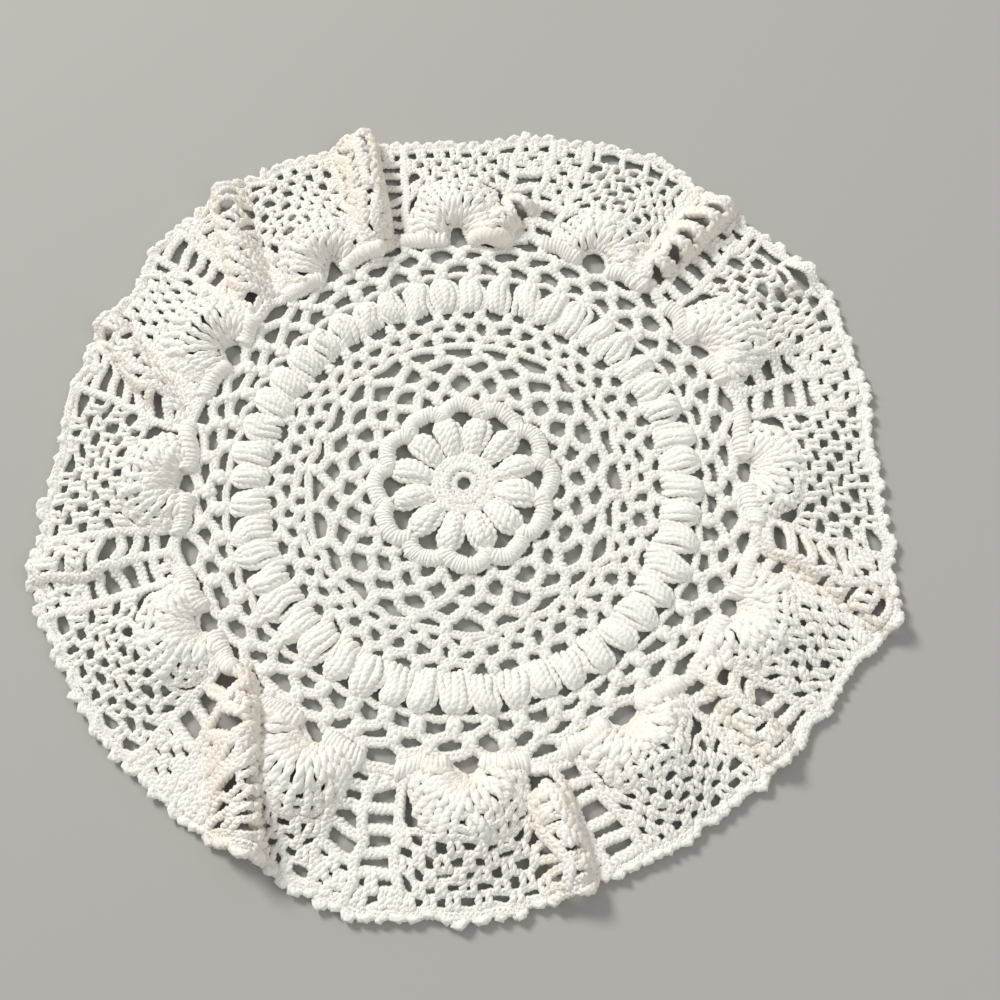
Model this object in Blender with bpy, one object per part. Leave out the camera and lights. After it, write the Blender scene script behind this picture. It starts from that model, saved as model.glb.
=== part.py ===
"""Crocheted lace doily of thick ivory cotton, made in one piece and laid flat.

The doily is worked in rounds: a centre disc, a ring of petals, a ribbed band,
a wide net, a dense net, a ring of popcorn stitches, a second net, and twelve
fans of long stitches that spread from round base holes. Ribbed bands join the
fans, and an open ladder runs out along a spine between each two of them.

Sizes are millimetres and degrees here and become metres where the mesh is made.
The pattern is laid out in turns and rings. A turn is one fan wide, so fan 3 lies
round turn 3.0 and the spine after it on turn 3.5. A ring is the radius that a
stitch would have on an even doily. FANS and FOLDS shift both to the laid shape.
"""
import math

import bpy
from mathutils import Vector, noise
from mathutils.geometry import delaunay_2d_cdt

MM = 0.001
SECTORS = 12
NODE_NAME = "doily"

# One row for each fan and the spine that follows it, anticlockwise. base and tip are
# the radii of the fan's base hole and of its outer edge, corner is the edge's radius
# on the spine, dome is how far the fan bulges up, inner and outer are the spine's
# angles at the base holes and at the edge, and treble is how far the trebles reach
# from the middle of the base hole.
FANS = (
    # axis   base    tip    dome  inner  outer  corner  treble
    (1.7,   108.4,  158.0,  5.5,  19.0,  17.5,  165.0,  19.6),
    (29.9,  110.4,  173.0,  7.0,  46.5,  49.0,  168.5,  24.6),
    (61.1,  113.3,  176.0,  6.0,  76.5,  76.0,  171.0,  23.7),
    (91.2,  112.9,  163.5,  6.5, 106.5, 105.0,  168.5,  28.1),
    (118.8, 110.9,  174.5,  8.0, 134.5, 135.5,  173.0,  22.1),
    (146.7, 109.6,  163.5,  6.5, 162.0, 157.5,  164.5,  30.0),
    (178.4, 106.4,  158.5,  7.0, 193.5, 193.0,  163.5,  21.6),
    (209.4, 107.3,  158.5,  6.5, 224.5, 228.0,  155.5,  22.7),
    (240.5, 107.5,  153.0,  8.0, 254.0, 255.5,  157.0,  27.5),
    (270.5, 106.0,  154.5,  9.0, 285.0, 289.0,  150.5,  24.0),
    (302.1, 105.9,  150.0,  8.0, 318.0, 318.5,  152.5,  22.1),
    (332.1, 109.5,  156.5,  7.0, 346.0, 342.0,  165.0,  23.5),
)
AXIS, BASE, TIP, DOME, INNER, OUTER, CORNER, TREBLE = range(8)

# The ladder's open gaps on both sides of each spine: the radius where they start, the
# length of one gap with its rung, and how many there are.
LADDERS = (
    # before the spine     after the spine
    # first  step  gaps    first  step  gaps
    (115.0,  8.0,  4,      117.0, 8.6,  3),
    (114.5,  8.7,  4,      118.0, 10.0, 4),
    (116.0,  9.6,  2,      114.5, 9.5,  4),
    (119.0,  7.0,  1,      119.0, 6.5,  0),
    (149.0,  7.5,  2,      137.5, 7.6,  4),
    (150.0,  7.0,  0,      122.5, 6.8,  5),
    (111.5,  7.2,  4,      119.5, 6.9,  4),
    (111.0,  8.3,  3,      121.5, 8.0,  2),
    (111.0,  7.4,  4,      116.0, 7.2,  4),
    (110.5,  10.0, 1,      111.5, 7.2,  5),
    (110.5,  8.8,  2,      116.0, 7.4,  4),
    (111.0,  7.6,  2,      118.0, 7.0,  3),
)

# Pleats and raised spines, one row each: the crest runs from an inner to an outer
# point, rises to height over half_width on each side, and leans anticlockwise by
# lean millimetres for each millimetre of height.
FOLDS = (
    # inner_deg inner_mm outer_deg outer_mm height half_width lean
    (222.0,     113.0,   241.0,    157.0,   13.0,  9.0,       0.45),
    (110.5,     114.0,   107.0,    172.0,   12.0,  9.0,      -0.45),
    (137.0,     116.0,   126.0,    174.0,   7.5,   8.0,       0.35),
    (163.5,     122.0,   153.0,    163.0,   5.0,   7.0,       0.20),
    (51.5,      119.0,   49.5,     172.0,   8.0,   8.0,      -0.40),
    (86.0,      114.0,   80.0,     131.0,   7.5,   7.5,      -0.30),
    (283.0,     116.0,   283.5,    151.0,   8.0,   8.5,       0.30),
    (320.0,     112.0,   316.0,    152.0,   5.0,   7.0,       0.00),
    (349.5,     114.0,   340.0,    165.0,   5.5,   7.5,       0.00),
    (193.0,     128.0,   191.5,    162.0,   3.0,   8.0,       0.00),
    (36.0,      128.0,   33.0,     173.0,   4.0,   9.0,       0.00),
)

# Rings of an even doily.
CENTRE_HOLE = 2.3
DISC_EDGE = 12.0
DISC_STEPS = 18
PETAL_EDGE = 27.6
BAND_MID = 32.4
BAND_EDGE = 36.0
NET_LOOPS = 24
# Hole rows of the wide net. stagger is in loops, from turn 0.
NET_ROWS = (
    # ring half_width half_height stagger
    (37.8, 2.7,       2.0,        0.5),
    (44.0, 3.4,       3.2,        0.0),
    (50.8, 3.7,       2.7,        0.5),
)
NET_SLITS = 57.4                    # a row of slits too narrow to be cut through
DENSE_RINGS = (63.0, 65.7, 68.4, 71.1, 73.8)   # crests and furrows by turns
DENSE_STEPS = 30
POPCORNS = 48
POPCORN_FOOT = 76.0
POPCORN_HEAD = 91.5
POPCORN_MID = 83.5
OUTER_NET_RINGS = (93.8, 100.6)
BASE_RING = 108.5
BAND_RIDGE = 110.8                  # crest of the ribbed bands that join the fans
EDGE_RING = 162.0
POPCORN_DRIFT_X = 0.5               # the popcorn ring lies this far towards +X
POPCORN_DRIFT_Y = 2.0               # and this far towards +Y
PATTERN_LAG = 1.5                   # degrees from +X to turn 0 inside the popcorns

HOLE_RIM = 2.3                      # thickness at the rim of a hole
FAN_SIDE = 0.36                     # turns from a fan's axis to its side
ZONE_SQUEEZE = 0.14                 # the same for half the ladder between two fans
DOME_LENGTH = 46.0
DOME_HALF_WIDTH = 25.0
TREBLE_SPREAD = 73.0                # degrees from a fan's axis to its outermost treble
SHELL_HALF_WIDTH = 18.5             # the trebles end in a round-shouldered shell this wide
RUNG = 3.9                          # thickness of a ladder's rung
LADDER_MID = 0.098                  # turns from a spine to the middle of a ladder's gap
LADDER_HALF_DIAGONAL = 5.2
CRESCENT_RING = 105.6               # crescent gaps under the bands
EDGE_STEPS = 13                     # corners of the scalloped edge in one sector
EDGE_SCALLOP = 1.3
TALL_FOLD = 6.0                     # a higher fold is shaped by five rows of points, not three
FINISH = (0.90, 0.87, 0.79, 1.0)    # ivory cotton
ROUGHNESS = 0.92


def smooth(low, high, value):
    """Ease from 0 at low to 1 at high."""
    part = min(max((value - low) / (high - low), 0.0), 1.0)
    return part * part * (3.0 - 2.0 * part)


def mix(first, second, share):
    return first + (second - first) * share


def chain(value, stops):
    """Read a piecewise line through (place, height) stops."""
    for (low, start), (high, end) in zip(stops, stops[1:]):
        if value <= high:
            return mix(start, end, (value - low) / (high - low))
    return stops[-1][1] + value - stops[-1][0]


def along_turns(turn, on_axis, on_spine):
    """Read a quantity that is on_axis[k] on fan k's axis and on_spine[k] on the spine after it."""
    whole = math.floor(turn)
    part = turn - whole
    here = whole % SECTORS
    after = (whole + 1) % SECTORS
    if part < 0.5:
        return mix(on_axis[here], on_spine[here], smooth(0.0, 0.5, part))
    return mix(on_spine[here], on_axis[after], smooth(0.5, 1.0, part))


def column(index):
    return [row[index] for row in FANS]


def fan_angle(turn, ring):
    """Give the laid angle of a turn out among the fans, in degrees."""
    whole = math.floor(turn)
    part = turn - whole
    row = FANS[whole % SECTORS]
    after = FANS[(whole + 1) % SECTORS]
    laps = 360.0 * (whole // SECTORS)
    wrap = 360.0 if after[AXIS] < row[AXIS] else 0.0
    spine = mix(row[INNER], row[OUTER], smooth(BASE_RING, EDGE_RING, ring))
    half_zone = ZONE_SQUEEZE * 360.0 / SECTORS
    stops = ((0.0, row[AXIS]),
             (FAN_SIDE, spine - half_zone),
             (1.0 - FAN_SIDE, spine + half_zone),
             (1.0, after[AXIS] + wrap))
    return chain(part, stops) + laps


def laid(turn, ring):
    """Give the laid place (x, y) in millimetres of a stitch at a turn and a ring."""
    even = turn * 360.0 / SECTORS + PATTERN_LAG
    angle = math.radians(mix(even, fan_angle(turn, ring), smooth(90.0, 116.0, ring)))
    base = along_turns(turn, column(BASE), [0.5 * (FANS[k][BASE] + FANS[(k + 1) % SECTORS][BASE])
                                            for k in range(SECTORS)])
    edge = along_turns(turn, column(TIP), column(CORNER))
    drift = POPCORN_DRIFT_X * math.cos(angle) + POPCORN_DRIFT_Y * math.sin(angle)
    radius = chain(ring, ((0.0, 0.0), (BAND_EDGE, BAND_EDGE), (POPCORN_MID, POPCORN_MID + drift),
                          (BASE_RING, base), (EDGE_RING, edge)))
    return radius * math.cos(angle), radius * math.sin(angle)


def polar(angle_deg, radius):
    angle = math.radians(angle_deg)
    return radius * math.cos(angle), radius * math.sin(angle)


def dome_lift(x, y):
    """Give how far the fans' domes hold the cloth up at a place."""
    lift = 0.0
    for row in FANS:
        angle = math.radians(row[AXIS])
        out = x * math.cos(angle) + y * math.sin(angle) - row[BASE]
        side = y * math.cos(angle) - x * math.sin(angle)
        if not -2.0 < out < DOME_LENGTH or abs(side) > DOME_HALF_WIDTH:
            continue
        rise = smooth(2.0, 17.0, math.hypot(out, side)) * smooth(DOME_LENGTH, 16.0, out)
        across = math.cos(0.5 * math.pi * side / DOME_HALF_WIDTH) ** 1.5
        lift = max(lift, row[DOME] * rise * across * smooth(-2.0, 6.0, out))
    return lift


def fold_lift(x, y):
    """Give the lift of the pleats at a place, and the sideways shift that they bring."""
    lift = shift_x = shift_y = 0.0
    for inner_deg, inner_mm, outer_deg, outer_mm, height, half_width, lean in FOLDS:
        start = Vector(polar(inner_deg, inner_mm))
        run = Vector(polar(outer_deg, outer_mm)) - start
        step = Vector((x, y)) - start
        share = step.dot(run) / run.length_squared
        side = (run.x * step.y - run.y * step.x) / run.length
        if not -0.25 < share < 1.25 or abs(side) > half_width:
            continue
        ends = smooth(-0.25, 0.30, share) * (1.0 - 0.35 * smooth(0.8, 1.2, share))
        here = height * ends * math.cos(0.5 * math.pi * side / half_width) ** 2
        lift += here
        shift_x -= here * lean * run.y / run.length
        shift_y += here * lean * run.x / run.length
    return lift, shift_x, shift_y


def underside(x, y):
    """Give the underside of the laid cloth over a place, in millimetres."""
    domed = dome_lift(x, y)
    folded, shift_x, shift_y = fold_lift(x, y)
    lift = (domed ** 3 + folded ** 3) ** (1.0 / 3.0)
    return Vector((x + shift_x, y + shift_y, lift))


def upright(x, y):
    """Give the direction that the cloth's upper face looks in over a place."""
    reach = 1.8
    across = underside(x + reach, y) - underside(x - reach, y)
    along = underside(x, y + reach) - underside(x, y - reach)
    face = across.cross(along).normalized()
    return face if face.z > 0.0 else Vector((0.0, 0.0, 1.0))


class Layout:
    """The doily seen from above: relief points, the holes and the edge."""

    def __init__(self):
        self.points = []
        self.heights = []
        self.loops = []
        self.deep = []

    def add(self, place, height, deep=False):
        """Add a point with its thickness of cloth. A deep one shapes the underside too."""
        self.points.append(Vector(place))
        self.heights.append(height)
        self.deep.append(deep)
        return len(self.points) - 1

    def row(self, ring, count, height, start=0.0, sway=0.0, deep=False):
        """Add a ring of points. sway moves every other one in and out."""
        for step in range(count):
            turn = (step + start) * SECTORS / count
            offset = sway if step % 2 else -sway
            self.add(laid(turn, ring + offset), height, deep)

    def hole(self, turn, ring, half_width, half_height, corners=6, spin=0.0, rim=HOLE_RIM):
        """Cut a round-cornered gap through the cloth, wide along the round."""
        middle = Vector(laid(turn, ring))
        outward = (Vector(laid(turn, ring + 1.0)) - middle).normalized()
        sideward = Vector((-outward.y, outward.x))
        self.ring_of(middle, sideward * half_width, outward * half_height, corners, spin, rim)

    def ring_of(self, middle, first, second, corners, spin, height):
        loop = []
        for corner in range(corners):
            angle = 2.0 * math.pi * (corner + spin) / corners
            place = middle + first * math.cos(angle) + second * math.sin(angle)
            loop.append(self.add(place, height, True))
        self.loops.append(loop)


def lay_centre(layout):
    """Centre disc, petals and the ribbed band around them."""
    layout.hole(0.0, 0.0001, CENTRE_HOLE, CENTRE_HOLE, corners=8)
    layout.row(5.6, SECTORS, 3.9, start=0.25)
    layout.row(9.6, SECTORS, 3.7, start=0.5)
    layout.row(DISC_EDGE, DISC_STEPS, 2.4)
    for sector in range(SECTORS):
        petal = sector + 0.5
        for ring, height in ((14.6, 4.9), (18.6, 6.5), (22.6, 6.8), (26.2, 5.3)):
            layout.add(laid(petal, ring), height)
        for side in (-0.3, 0.3):
            layout.add(laid(petal + side, 19.5), 4.6)
            layout.add(laid(petal + side, 23.5), 4.8)
        layout.add(laid(sector, 15.6), 2.6)
        layout.hole(sector, 23.9, 3.2, 2.9, corners=5, spin=1.25)
    arches = 36
    for step in range(arches):
        turn = step * SECTORS / arches
        bow = 0.8 * math.cos(2.0 * math.pi * turn)
        layout.add(laid(turn, PETAL_EDGE + 0.9 + bow), 3.2)
        layout.add(laid(turn, BAND_MID + bow), 5.2)
        layout.add(laid(turn, BAND_EDGE - 0.4 + bow), 3.0)


def lay_nets(layout):
    """Wide net, dense net, popcorn ring and outer net."""
    for ring, half_width, half_height, stagger in NET_ROWS:
        for step in range(NET_LOOPS):
            turn = (step + stagger) * SECTORS / NET_LOOPS
            layout.hole(turn, ring, half_width, half_height)
        layout.row(ring, NET_LOOPS, 3.5, start=stagger + 0.5)
    layout.row(NET_SLITS, NET_LOOPS, 1.8)
    layout.row(NET_SLITS - 1.0, NET_LOOPS, 3.5, start=0.5)
    for number, ring in enumerate(DENSE_RINGS):
        layout.row(ring, DENSE_STEPS, 2.5 if number % 2 else 3.9, start=0.5 * (number % 2))
    for step in range(POPCORNS):
        turn = (step + 0.5) * SECTORS / POPCORNS
        gap = step * SECTORS / POPCORNS
        plump = 7.4 + 0.8 * noise.noise(Vector((step * 1.7, 0.3, 0.0)))
        layout.add(laid(turn, POPCORN_FOOT + 1.5), 4.8)
        layout.add(laid(turn, POPCORN_MID - 1.5), plump)
        layout.add(laid(turn, POPCORN_HEAD - 3.0), plump - 0.8)
        layout.add(laid(gap, POPCORN_MID - 3.5), 3.0)
        layout.add(laid(gap, POPCORN_HEAD - 5.5), 2.6)
        layout.add(laid(gap, POPCORN_HEAD - 0.3), 2.2)
    for number, ring in enumerate(OUTER_NET_RINGS):
        for step in range(POPCORNS):
            turn = (step + 0.5 * number) * SECTORS / POPCORNS
            layout.hole(turn, ring, 3.1, 2.7, corners=4)


def fan_frame(sector):
    """Give the middle of a fan's base hole and the fan's outward and sideward directions."""
    middle = Vector(laid(sector, BASE_RING))
    outward = middle.normalized()
    return middle, outward, Vector((-outward.y, outward.x))


def shell_reach(sector, angle):
    """Give how far a fan's trebles reach at an angle from its axis."""
    along = abs(math.cos(angle)) / FANS[sector][TREBLE]
    across = abs(math.sin(angle)) / SHELL_HALF_WIDTH
    return (along ** 3 + across ** 3) ** (-1.0 / 3.0)


def lay_fan(layout, sector):
    """One fan: base hole, the crescent gaps beside it, treble ribs and the mesh outside them."""
    middle, outward, sideward = fan_frame(sector)
    layout.ring_of(middle, sideward * 3.9, outward * 3.6, 7, 0.0, 2.6)
    ribs = 8
    for rib in range(2 * ribs - 1):
        angle = math.radians(mix(-TREBLE_SPREAD, TREBLE_SPREAD, rib / (2.0 * ribs - 2.0)))
        ray = outward * math.cos(angle) + sideward * math.sin(angle)
        crest = rib % 2 == 0
        for share in (0.48, 0.92):
            place = middle + ray * share * shell_reach(sector, angle)
            layout.add(place, 4.7 if crest else 2.3, crest and rib % 4 == 0)
    for side in (-0.25, 0.25):
        layout.hole(sector + side, CRESCENT_RING, 4.3, 1.9, corners=5, spin=0.25, rim=2.4)
    for number, ring in enumerate((139.0, 147.5, 156.0)):
        for place in range(6):
            turn = sector + FAN_SIDE * (place - 2.75 + 0.5 * (number % 2)) / 2.9
            layout.add(laid(turn, ring), 3.5, place % 3 == 0)


def spine_ring(sector, radius):
    """Give the ring that lies at a radius on the spine after a fan."""
    base = 0.5 * (FANS[sector][BASE] + FANS[(sector + 1) % SECTORS][BASE])
    share = (radius - base) / (FANS[sector][CORNER] - base)
    return mix(BASE_RING, EDGE_RING, share)


def lay_spine(layout, sector):
    """The junction hole, the ribbed band, the spine and the ladder of gaps on each side."""
    spine = sector + 0.5
    layout.hole(spine, BASE_RING - 1.6, 3.5, 2.9, corners=5, spin=0.25)
    for step in range(-5, 6):
        if abs(step) > 0:
            layout.add(laid(spine + 0.072 * step, BAND_RIDGE), 4.8, True)
    row = LADDERS[sector]
    for side, (first, step, gaps) in ((-1.0, row[:3]), (1.0, row[3:])):
        for gap in range(gaps):
            ring = spine_ring(sector, first + step * (gap + 0.5))
            half_high = 0.5 * (step - RUNG) * math.sqrt(2.0)
            layout.hole(spine + side * LADDER_MID, ring, LADDER_HALF_DIAGONAL, half_high,
                        corners=4, spin=0.5, rim=2.5)
    for ring in (115.0, 124.0, 133.0, 142.0, 151.0):
        layout.add(laid(spine, ring), 4.0, True)


def lay_edge(layout):
    """The scalloped outer edge."""
    corners = SECTORS * EDGE_STEPS
    loop = []
    for step in range(corners):
        turn = step * SECTORS / corners
        out = EDGE_SCALLOP * (1.0 if step % 2 else -1.0)
        loop.append(layout.add(laid(turn, EDGE_RING + out), 2.6, True))
    layout.loops.append(loop)


def lay_crests(layout):
    """Points along each pleat's crest and feet, so that the fold keeps its form."""
    for inner_deg, inner_mm, outer_deg, outer_mm, height, half_width, _ in FOLDS:
        start = Vector(polar(inner_deg, inner_mm))
        run = Vector(polar(outer_deg, outer_mm)) - start
        across = Vector((-run.y, run.x)).normalized()
        sides = (-0.95, -0.5, 0.0, 0.5, 0.95) if height > TALL_FOLD else (-0.6, 0.0, 0.6)
        for step in range(6):
            crest = start + run * (0.08 + 0.16 * step)
            for side in sides:
                layout.add(crest + across * side * half_width, 3.2, True)


def cull(layout, spacing):
    """Drop loose points that stand too near a hole's rim, the edge or one another."""
    bound = {index for loop in layout.loops for index in loop}
    order = sorted(bound) + [i for i in range(len(layout.points)) if i not in bound]
    kept = []
    cells = {}
    for index in order:
        point = layout.points[index]
        key = (math.floor(point.x / spacing), math.floor(point.y / spacing))
        near = [other for dx in (-1, 0, 1) for dy in (-1, 0, 1)
                for other in cells.get((key[0] + dx, key[1] + dy), ())]
        if index in bound or all((layout.points[o] - point).length > spacing for o in near):
            kept.append(index)
            cells.setdefault(key, []).append(index)
    return set(kept), bound


def inside_hole(layout, point):
    """Tell whether a loose point fell into a gap or outside the edge."""
    edge = layout.loops[-1]
    for loop in layout.loops:
        crossings = 0
        for first, second in zip(loop, loop[1:] + loop[:1]):
            a, b = layout.points[first], layout.points[second]
            if (a.y > point.y) != (b.y > point.y):
                if point.x < a.x + (b.x - a.x) * (point.y - a.y) / (b.y - a.y):
                    crossings += 1
        if (crossings % 2 == 1) != (loop is edge):
            return True
    return False


def triangulate(layout, indices):
    """Triangulate the cloth between the edge and the holes through the given points."""
    place = {index: number for number, index in enumerate(indices)}
    faces = [[place[index] for index in loop] for loop in layout.loops]
    coords = [layout.points[index] for index in indices]
    inside_with_holes = 2
    result = delaunay_2d_cdt(coords, [], faces, inside_with_holes, 0.0001)
    sources = [indices[origin[0]] for origin in result[3]]
    return [tuple(sources[corner] for corner in face) for face in result[2]]


def wound_up(layout, face):
    """Give a triangle's corners in anticlockwise order seen from above."""
    a, b, c = (layout.points[index] for index in face)
    turn = (b - a).cross(c - a)
    return face if turn > 0.0 else face[::-1]


def build_mesh(layout):
    """Make the closed body: an upper face with the relief, an underside and the walls between."""
    kept, bound = cull(layout, 1.5)
    loose = [i for i in sorted(kept - bound) if not inside_hole(layout, layout.points[i])]
    upper = triangulate(layout, sorted(bound) + loose)
    lower = triangulate(layout, sorted(bound) + [i for i in loose if layout.deep[i]])
    mesh_points = []
    upper_at, lower_at = {}, {}
    for index in sorted(bound) + loose:
        x, y = layout.points[index]
        foot = underside(x, y)
        if index in bound or layout.deep[index]:
            lower_at[index] = len(mesh_points)
            mesh_points.append(foot * MM)
        upper_at[index] = len(mesh_points)
        mesh_points.append((foot + upright(x, y) * layout.heights[index]) * MM)
    faces = [tuple(upper_at[i] for i in wound_up(layout, face)) for face in upper]
    faces += [tuple(lower_at[i] for i in wound_up(layout, face)[::-1]) for face in lower]
    rims = {}
    for face in upper:
        corners = wound_up(layout, face)
        for first, second in zip(corners, corners[1:] + corners[:1]):
            rims[(first, second)] = True
    for first, second in sorted(rims):
        if (second, first) not in rims:
            faces.append((upper_at[second], upper_at[first], lower_at[first], lower_at[second]))
    mesh = bpy.data.meshes.new(NODE_NAME)
    mesh.from_pydata(mesh_points, [], faces)
    mesh.validate()
    return mesh


def cotton():
    """Matte ivory cotton."""
    material = bpy.data.materials.new("ivory_cotton")
    material.use_nodes = True
    shader = material.node_tree.nodes["Principled BSDF"]
    shader.inputs["Base Color"].default_value = FINISH
    shader.inputs["Roughness"].default_value = ROUGHNESS
    shader.inputs["Metallic"].default_value = 0.0
    return material


def centre_on_origin(mesh):
    """Move the mesh so that the origin is under the middle of its box."""
    for axis in (0, 1):
        places = [vertex.co[axis] for vertex in mesh.vertices]
        shift = -0.5 * (min(places) + max(places))
        for vertex in mesh.vertices:
            vertex.co[axis] += shift


def main():
    for item in list(bpy.data.objects):
        bpy.data.objects.remove(item, do_unlink=True)
    layout = Layout()
    lay_centre(layout)
    lay_nets(layout)
    for sector in range(SECTORS):
        lay_fan(layout, sector)
        lay_spine(layout, sector)
    lay_crests(layout)
    lay_edge(layout)
    mesh = build_mesh(layout)
    centre_on_origin(mesh)
    mesh.materials.append(cotton())
    mesh.shade_smooth()
    mesh.set_sharp_from_angle(angle=math.radians(50.0))
    doily = bpy.data.objects.new(NODE_NAME, mesh)
    bpy.context.scene.collection.objects.link(doily)


main()
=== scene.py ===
"""Looks of the crocheted lace doily: every cord of the crochet, laid on the solid's folds.

The cords follow the pattern in turns and rings, as the solid does: a turn is one fan
wide, and a ring is the radius that a stitch would have on an even doily. laid() moves
them to where the doily lies, and the folds lift them. Sizes are millimetres.
"""
import math

import bpy
import numpy as np
from mathutils import Matrix, Vector

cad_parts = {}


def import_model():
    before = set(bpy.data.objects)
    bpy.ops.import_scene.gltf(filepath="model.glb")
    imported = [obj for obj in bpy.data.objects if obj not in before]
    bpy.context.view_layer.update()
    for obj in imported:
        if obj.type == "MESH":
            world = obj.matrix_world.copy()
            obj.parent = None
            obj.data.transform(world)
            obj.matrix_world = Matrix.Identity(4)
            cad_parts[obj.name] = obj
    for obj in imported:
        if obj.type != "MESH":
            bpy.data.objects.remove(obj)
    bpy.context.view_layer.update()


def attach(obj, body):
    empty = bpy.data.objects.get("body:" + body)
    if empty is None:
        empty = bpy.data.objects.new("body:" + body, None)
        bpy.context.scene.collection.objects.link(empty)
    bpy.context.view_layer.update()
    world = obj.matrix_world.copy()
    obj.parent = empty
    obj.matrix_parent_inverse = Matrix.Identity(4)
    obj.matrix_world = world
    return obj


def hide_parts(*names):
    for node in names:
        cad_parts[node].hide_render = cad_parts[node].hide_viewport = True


MM = 0.001
SECTORS = 12
CENTRE_HOLE_AT = (0.642, -6.063)  # the centre hole in the frame

# One row for each fan and the spine that follows it, as in the solid's source.
FANS = np.array((
    # axis   base    tip    dome  inner  outer  corner
    (1.7,   108.4,  158.0,  5.5,  19.0,  17.5,  165.0),
    (29.9,  110.4,  173.0,  7.0,  46.5,  49.0,  168.5),
    (61.1,  113.3,  176.0,  6.0,  76.5,  76.0,  171.0),
    (91.2,  112.9,  163.5,  6.5, 106.5, 105.0,  168.5),
    (118.8, 110.9,  174.5,  8.0, 134.5, 135.5,  173.0),
    (146.7, 109.6,  163.5,  6.5, 162.0, 157.5,  164.5),
    (178.4, 106.4,  158.5,  7.0, 193.5, 193.0,  163.5),
    (209.4, 107.3,  158.5,  6.5, 224.5, 228.0,  155.5),
    (240.5, 107.5,  153.0,  8.0, 254.0, 255.5,  157.0),
    (270.5, 106.0,  154.5,  9.0, 285.0, 289.0,  150.5),
    (302.1, 105.9,  150.0,  8.0, 318.0, 318.5,  152.5),
    (332.1, 109.5,  156.5,  7.0, 346.0, 342.0,  165.0),
))
AXIS, BASE, TIP, DOME, INNER, OUTER, CORNER = FANS.T

# How far each fan's trebles reach from the middle of its base hole.
TREBLES = (19.6, 24.6, 23.7, 27.0, 22.1, 28.5, 21.6, 22.7, 26.5, 23.5, 22.1, 21.5)

# How far each fan's base hole reaches out from its middle.
BASE_HOLES = (4.0, 4.8, 6.0, 6.2, 6.0, 6.0, 4.8, 4.4, 3.4, 2.9, 3.4, 4.0)

# Rows of gaps in each fan's mesh.
MESH_ROWS = (6, 6, 7, 4, 7, 4, 6, 6, 4, 5, 5, 5)

# The ladder's open gaps on both sides of each spine: the radius where they start, the
# length of one gap with its rung, and how many there are.
LADDERS = (
    # before the spine     after the spine
    # first  step  gaps    first  step  gaps
    (115.0,  8.0,  4,      117.0, 8.6,  3),
    (114.5,  8.7,  4,      118.0, 10.0, 4),
    (116.0,  9.6,  2,      114.5, 9.5,  4),
    (119.0,  6.5,  6,      119.0, 6.5,  0),
    (149.0,  7.5,  2,      137.5, 7.6,  4),
    (150.0,  7.0,  0,      122.5, 6.8,  5),
    (111.5,  7.2,  4,      119.5, 6.9,  4),
    (111.0,  8.3,  3,      121.5, 8.0,  2),
    (111.0,  7.4,  4,      116.0, 7.2,  4),
    (110.5,  10.0, 1,      111.5, 7.2,  5),
    (110.5,  8.8,  2,      116.0, 7.4,  5),
    (111.0,  7.6,  2,      118.0, 7.0,  4),
)

# Cords that run out along the folds: the spine they follow, their distance from it in
# turns, and the rings that they run between.
FOLD_CORDS = (
    # spine off     start   end
    (1,   0.140,    116.0,  160.0),
    (3,   0.045,    114.5,  160.0),
    (3,   0.095,    114.5,  160.0),
    (3,   0.145,    114.5,  160.0),
    (4,   -0.045,   114.5,  160.0),
    (4,   -0.095,   114.5,  150.0),
    (4,   -0.145,   114.5,  150.0),
    (5,   -0.045,   116.0,  150.0),
    (5,   -0.110,   116.0,  150.0),
    (7,   0.055,    136.0,  160.0),
    (7,   0.105,    132.0,  160.0),
    (7,   0.145,    122.0,  160.0),
    (7,   0.215,    118.0,  160.0),
    (9,   -0.095,   122.0,  160.0),
)

# Pleats and raised spines, as in the solid's source.
FOLDS = (
    # inner_deg inner_mm outer_deg outer_mm height half_width lean
    (222.0,     113.0,   241.0,    157.0,   13.0,  9.0,       0.45),
    (110.5,     114.0,   107.0,    172.0,   12.0,  9.0,      -0.45),
    (137.0,     116.0,   126.0,    174.0,   7.5,   8.0,       0.35),
    (163.5,     122.0,   153.0,    163.0,   5.0,   7.0,       0.20),
    (51.5,      119.0,   49.5,     172.0,   8.0,   8.0,      -0.40),
    (86.0,      114.0,   80.0,     131.0,   7.5,   7.5,      -0.30),
    (283.0,     116.0,   283.5,    151.0,   8.0,   8.5,       0.30),
    (320.0,     112.0,   316.0,    152.0,   5.0,   7.0,       0.00),
    (349.5,     114.0,   340.0,    165.0,   5.5,   7.5,       0.00),
    (193.0,     128.0,   191.5,    162.0,   3.0,   8.0,       0.00),
    (36.0,      128.0,   33.0,     173.0,   4.0,   9.0,       0.00),
)
FOLD_RISE = (-0.25, 0.30)   # shares of a fold's length between which it rises
FOLD_SINK = (0.8, 1.2)      # and between which it sinks again,
FOLD_LOSS = 0.35            # by this share of its height,
FOLD_STOP = 1.25            # to where it stops

# Rings of the pattern, and how it is laid.
PATTERN_LAG = 1.5           # degrees from +X to turn 0 inside the popcorns
BAND_EDGE = 36.0            # outer edge of the band round the petals
POPCORN_MID = 83.5
POPCORN_DRIFT = (0.5, 2.0)  # how far the popcorns' round lies off centre, x and y
FAN_ZONE = (90.0, 116.0)    # rings between which even turns give way to the fans'
BASE_RING = 108.5           # middles of the base holes
BAND_RIDGE = 110.8          # middles of the bands that join the fans
LADDER_START = 114.5
MESH_END = 159.0
EDGE_RING = 162.0
FAN_SIDE = 0.36             # turns from a fan's axis to where its spine's zone starts
ZONE_SQUEEZE = 0.14         # and how many turns of the round that zone takes up
WAVER_ZONE = (24.0, 40.0)   # radii between which the hand's unevenness sets in

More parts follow.
